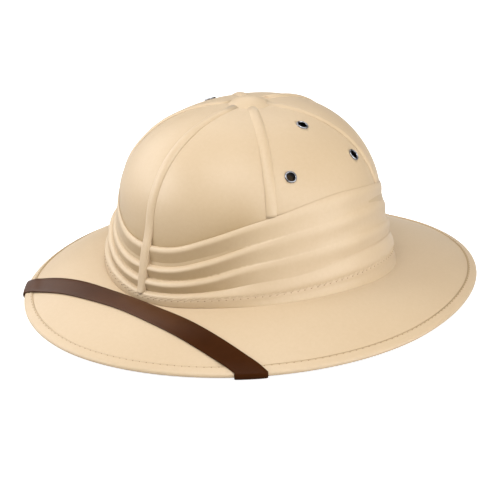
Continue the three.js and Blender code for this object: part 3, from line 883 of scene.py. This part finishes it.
# a strip folded round the edge: its section is mm back from the edge and mm off the brim's middle
def makeBinding():
    b = bindingLook
    width, grip = b["width"], b["grip"]
    inside = brimShape["thickness"] / 2 + b["gap"]
    outside = inside + b["wall"]
    straight = b["round"] + 0.2
    section = [(width, inside - 0.2), (width + 0.05, outside - 0.45), (width - 0.35, outside - 0.1)]
    section += [(back, outside) for back in np.linspace(width - 0.9, straight, 7)]
    for bend in np.linspace(0.15, 0.95, 11) * math.pi:
        section.append((b["round"] * (1 - math.sin(bend)), outside * math.cos(bend)))
    section += [(back, -outside) for back in np.linspace(straight, width - 0.5, 5)]
    section += [(width, -outside + 0.3), (width, -inside), (grip, -inside), (grip, inside)]
    rows = [offBrim(turn, shareFromEdge(turn, back), lift + 0 * turn) for back, lift in section]
    # painted shadow along the sewn inner edge, fainter in front
    seam = np.array([1.0, 1.0, 1.0, 0.5] + [0.0] * (len(rows) - 3)) * b["shade"]
    side = easeBetween(np.abs(wrapDegrees(turn)), b["shadeSides"])
    side = b["shadeFront"] + (1 - b["shadeFront"]) * side
    binding = gridPiece("edge_binding", closeRing(rows), cloth, side[:, None] * seam)
    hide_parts("brim_binding")
    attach(binding, "root")


makeCollar()
makeBrim()
makeBinding()
print("collar, brim and binding made")


# seam ribs and button

ribLook = {
    "width": 7.0, "height": 1.15, "square": 2.2, "shoulder": 0.95, "rows": 40, "topShare": 0.9968,
    "sunk": 0.4,    # how deep its hidden side lies in the crown
    "halfSection": (0.0, 0.3, 0.55, 0.74, 0.86, 0.94, 0.985, 1.0),    # shares of the half width
    # the front one is flatter over the folds: mm above the first fold and mm off the crown
    "foldSquare": 4.5, "foldRows": 9,
    "climb": ((13, 0.05), (10, 0.25), (7.5, 0.5), (5, 0.9), (3, 1.35), (1.2, 1.8)),
    "wideStart": 1.04, "wideEnd": 0.9,
    # mm above the fourth fold, mm inside the collar's face, and share of the width
    "tip": ((-0.2, 0.75, 0.8), (-1.0, 0.5, 0.55)),
}


def ribSection(angle, height, lift, wide, square):
    look = ribLook
    angle, height = np.array(angle), np.array(height)
    around, _, out = domeFrame(angle, height)
    foot = domePoint(angle, height) + out * lift
    half = look["width"] / 2 * wide
    hidden = -look["sunk"] - lift * 0.8
    shape = [(-1.0, hidden)]
    for x in [-x for x in look["halfSection"][:0:-1]] + list(look["halfSection"]):
        shape.append((x, look["height"] * (1 - abs(x) ** square) ** look["shoulder"]))
    shape.append((1.0, hidden))
    return [foot + around * x * half + out * z for x, z in shape]


# each station along a rib has its height, lift off the crown, width and squareness
def makeRib(place, degrees):
    look = ribLook
    angle = math.radians(degrees)
    front = place == "front"
    high = float(foldValue("first", angle))
    end = high + (1.2 if front else 0.2)
    top = crownShape["height"] * look["topShare"]
    between = [height for height in crownHeights(look["rows"])[::-1] if end + 1.5 < height < top - 0.5]
    stations = [(height, 0.0, 1.0, look["square"]) for height in [top, *between, end + 1.0]]
    if front:
        # a flat tape laid straight over the folds, down to a narrow rounded tip on the collar
        stations = [station for station in stations if station[0] > end + look["climb"][0][0]]
        low, face, square = float(foldValue("fourth", angle)), collarLook["face"], look["foldSquare"]
        for above, lift in look["climb"]:
            stations.append((high + above, lift, 1.0, square))
        start, stop = high - look["climb"][-1][0], low + 0.9
        for part in np.linspace(0, 1, look["foldRows"]):
            lift = foldDepth["first"] - 0.2 + (face - 1.1 - foldDepth["first"]) * part
            wide = look["wideStart"] + (look["wideEnd"] - look["wideStart"]) * part
            stations.append((start + (stop - start) * part, lift, wide, square))
        for above, inside, wide in look["tip"]:
            stations.append((low + above, face - inside, wide, square))
    sections = [ribSection(angle, *station) for station in stations]
    rib = barPiece("seam_rib_" + place, sections, cloth)
    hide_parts("rib_" + place)
    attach(rib, "root")


buttonLook = {
    "radius": 17.0, "height": 4.2, "sunk": 2.2, "broad": 1.12, "rows": 18,
    "under": ((0.0, 0.3), (0.6, 0.5), (0.95, 2.5)),    # its hidden side: share of the radius, and mm down
}


# a soft mound whose edge runs down into the crown
def makeButton():
    b = buttonLook
    profile = [(b["radius"] * share, -down) for share, down in b["under"]]
    for x in np.linspace(1, 0, b["rows"]):
        bell = (math.cos(x ** b["broad"] * math.pi) + 1) / 2
        profile.append((b["radius"] * x, b["height"] * bell - b["sunk"] * x ** 4))
    bm = spinProfile(profile, steps=64)
    uvLayer = bm.loops.layers.uv.new("cloth")
    for face in bm.faces:
        for loop in face.loops:
            loop[uvLayer].uv = loop.vert.co.xy / mm
    centre = (np.array([0, crownShape["topShift"], crownShape["height"]]) + seat) * mm
    bmesh.ops.translate(bm, verts=bm.verts, vec=Vector(centre))
    button = newObject("covered_button", bm, cloth)
    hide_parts("crown_button")
    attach(button, "root")


for place, degrees in ribAngles.items():
    makeRib(place, degrees)
makeButton()
print("ribs and button made")


# chin strap

strapLook = {
    "width": 15.4, "thickness": 1.2, "clear": 0.12, "frontGap": 0.6,
    "reach": 105.0, "straightMiddle": 14.0, "bow": 2.2, "endsBack": 1.5, "endsSkew": 2.0,
    "bindingStep": 5.0,    # mm over which it steps up onto the binding
    "fixNear": 60.0, "fixFar": 73.0, "wallRows": (2.0, 5.0, 9.0, 13.0, 17.0),    # sewn inside the crown
    "underRows": (0.1, 0.2, 0.3, 0.45, 0.6, 0.75, 0.88, 1.0),
    # shares of the width, and of the thickness there: full in the middle with rounded edges
    "widthShares": (-0.5, -0.485, -0.45, -0.3, -0.1, 0.1, 0.3, 0.45, 0.485, 0.5),
    "swell": (0.35, 0.75, 1.0, 1.06, 1.1, 1.1, 1.06, 1.0, 0.75, 0.35),
    "shadeFrom": 20.0, "shadeOver": 60.0,    # painted shade and weaker reflection towards the wearer's left
}


# a line along the strap, from the front's middle over the brim, under it and up inside the crown;
# its places come with the way that the leather's face points
def strapLine(offset, side):
    s = strapLook
    half, thin = brimShape["thickness"] / 2, s["thickness"] / 2
    step = bindingLook["wall"] + bindingLook["gap"]
    wrapRadius = half + step + s["clear"] + thin
    front = headShape["centreY"] - headShape["halfLength"] - s["frontGap"] - s["width"] / 2
    path = []

    def middleY(x):
        part = (math.hypot(x, s["straightMiddle"]) - s["straightMiddle"]) / s["reach"]
        back = s["endsBack"] * part ** 2 + s["endsSkew"] * side * part
        return front - s["bow"] * math.sin(part * math.pi) + back

    def planY(x):
        up = brimFrame(*brimUnder(side * x, middleY(x)))[1]
        return middleY(x) - offset * up[2] / math.hypot(up[1], up[2])

    def lay(x, y, face):
        angle, share = brimUnder(side * x, y)
        up = brimFrame(angle, share)[1]
        back = (1 - share) * float(brimWidth(angle))
        onBrim = float(easeStep((back - bindingLook["width"]) / s["bindingStep"]))
        lift = half + s["clear"] + thin + step * (1 - onBrim)
        path.append((brimMiddle(angle, share) + up * face * lift, up * face))

    # halves the gap round the x at which the line meets the brim's edge
    low, high = 60.0, 140.0
    for _ in range(30):
        middle = (low + high) / 2
        if brimUnder(side * middle, planY(middle))[1] < 1:
            low = middle
        else:
            high = middle
    angle = brimUnder(side * low, planY(low))[0]
    share = float(shareFromEdge(np.array(angle), wrapRadius - thin - s["clear"]))
    edge = brimMiddle(angle, share)
    for part in list(np.linspace(0, 0.8, 25)) + list(np.linspace(0.83, 0.95, 7)):
        x = abs(edge[0]) * part
        lay(x, planY(x) + (edge[1] - planY(x)) * part ** 8, 1)
    # round the edge
    outward, up = brimFrame(angle, share)
    for bend in np.radians(np.linspace(4, 172, 15)):
        out = up * math.cos(bend) + outward * math.sin(bend)
        path.append((edge + out * wrapRadius, out))
    # back under the brim to the crown's rim
    fix = side * math.radians(s["fixNear"] + (s["fixFar"] - s["fixNear"]) * (0.5 - offset / s["width"]))
    rimX, rimY = headPlan(fix, crownShape["inset"] - 2)
    for part in s["underRows"]:
        lay(abs(edge[0] + (rimX - edge[0]) * part), edge[1] + (rimY - edge[1]) * part, -1)
    # and round the rim, up the wall
    wallOut = domeFrame(np.array(fix), np.array(0.0))[2]
    rim = float(foldValue("foot", fix)) - brimShape["thickness"]
    wall = crownShape["wall"] + 0.3 + thin
    down = np.array([0, 0, -1.0])

    def onWall(depth, z):
        point = offDome(np.array(fix), np.array(max(z, 0.0)), -depth)
        return np.array([point[0], point[1], z])

    path.append((onWall(crownShape["wall"] / 2, rim - 0.3 - thin), down))
    for bend in np.radians((25, 50, 75)):
        out = down * math.cos(bend) - wallOut * math.sin(bend)
        path.append((onWall(crownShape["wall"] - 0.4, rim + 0.7) + out * (thin + 1.1), out))
    for rise in s["wallRows"]:
        path.append((onWall(wall, rim + rise), -wallOut))
    return path


def makeStrap():
    s = strapLook
    thin = s["thickness"] / 2
    halves = {side: [strapLine(share * s["width"], side) for share in s["widthShares"]] for side in (1, -1)}

    def section(i, side):
        lines = [path[i] for path in halves[side]]
        low = [place - out * thin * grow for (place, out), grow in zip(lines, s["swell"])]
        high = [place + out * thin * grow for (place, out), grow in zip(lines, s["swell"])]
        return low + high[::-1]

    count = len(halves[1][0])
    sections = [section(i, -1) for i in range(count - 1, 0, -1)] + [section(i, 1) for i in range(count)]
    middles = [np.mean(points, axis=0) for points in sections]
    # painted shade towards the wearer's left
    paintedShade = [float(easeStep((middle[0] - s["shadeFrom"]) / s["shadeOver"])) for middle in middles]
    strap = barPiece("leather_strap", sections, leather, paintedShade)
    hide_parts("chin_strap")
    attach(strap, "root")


makeStrap()
print("strap made")


# stitches

stitchLook = {
    "pitch": 4.6,
    "collar": {"length": 3.3, "radius": 0.36, "slant": 30.0,
               "holeLength": 0.9, "holeRadius": 0.36, "holeBack": 0.62},
    "brim": {"length": 2.9, "radius": 0.2, "fromSeam": 1.1, "holeLength": 0.8, "holeRadius": 0.3},
}


# one small ellipsoid for each stitch or each dot of painted needle-hole shade, lying along its direction
def stitchRow(name, places, directions, normals, length, radius, material):
    bm = bmesh.new()
    bm.loops.layers.uv.new("cloth")
    lying = Matrix.Rotation(math.pi / 2, 4, "Y")
    for place, direction, normal in zip(places, directions, normals):
        axes = (direction * length / 2, np.cross(normal, direction) * radius, normal * radius)
        shape = Matrix([axis * mm for axis in axes]).transposed().to_4x4()
        matrix = Matrix.Translation((place + seat) * mm) @ shape @ lying
        bmesh.ops.create_uvsphere(bm, u_segments=6, v_segments=5, radius=1.0, matrix=matrix)
    row = newObject(name, bm, material)
    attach(row, "root")


# even steps along a line round the helmet: their angles, places and directions
def evenSteps(line, pitch):
    ask = np.linspace(0, 2 * np.pi, 4001)
    points = line(ask)
    run = np.concatenate([[0], np.cumsum(np.linalg.norm(np.diff(points, axis=0), axis=1))])
    count = round(run[-1] / pitch)
    angles = np.interp(np.linspace(0, run[-1], count, endpoint=False), run, ask)
    return angles, line(angles), unit(line(angles + 0.004) - line(angles - 0.004))


def collarStitches():
    s = stitchLook["collar"]

    def line(angle):
        height = foldValue("crest", angle)
        place = offDome(angle, np.maximum(height, 0), collarOut(angle, height) + 0.05)
        place[:, 2] = height
        return place

    angles, places, along = evenSteps(line, stitchLook["pitch"])
    out = unit(domeFrame(angles, 0 * angles)[2] + np.array([0, 0, 0.1]))
    across = unit(np.cross(out, along))
    slant = math.radians(s["slant"])
    directions = unit(along * math.cos(slant) + across * math.sin(slant))
    stitchRow("collar_stitches", places, directions, out, s["length"], s["radius"], cloth)
    # dark dots of painted shade at the needle holes
    holes = places - directions * s["length"] * s["holeBack"]
    stitchRow("needle_hole_shades", holes, along, out, s["holeLength"], s["holeRadius"], needleHoleShade)


def brimStitches():
    s = stitchLook["brim"]
    lift = brimShape["thickness"] / 2 + bindingLook["gap"] + bindingLook["wall"]

    def line(angle):
        return offBrim(angle, shareFromEdge(angle, bindingLook["width"] - s["fromSeam"]), lift + 0 * angle)

    angles, places, along = evenSteps(line, stitchLook["pitch"])
    up = brimFrame(angles, shareFromEdge(angles, bindingLook["width"]))[1]
    stitchRow("brim_stitches", places, along, up, s["length"], s["radius"], cloth)
    # dark dots of painted shade at the needle holes
    holes = places + along * stitchLook["pitch"] / 2
    stitchRow("brim_needle_hole_shades", holes, along, up, s["holeLength"], s["holeRadius"], needleHoleShade)


collarStitches()
brimStitches()
print("stitches made")
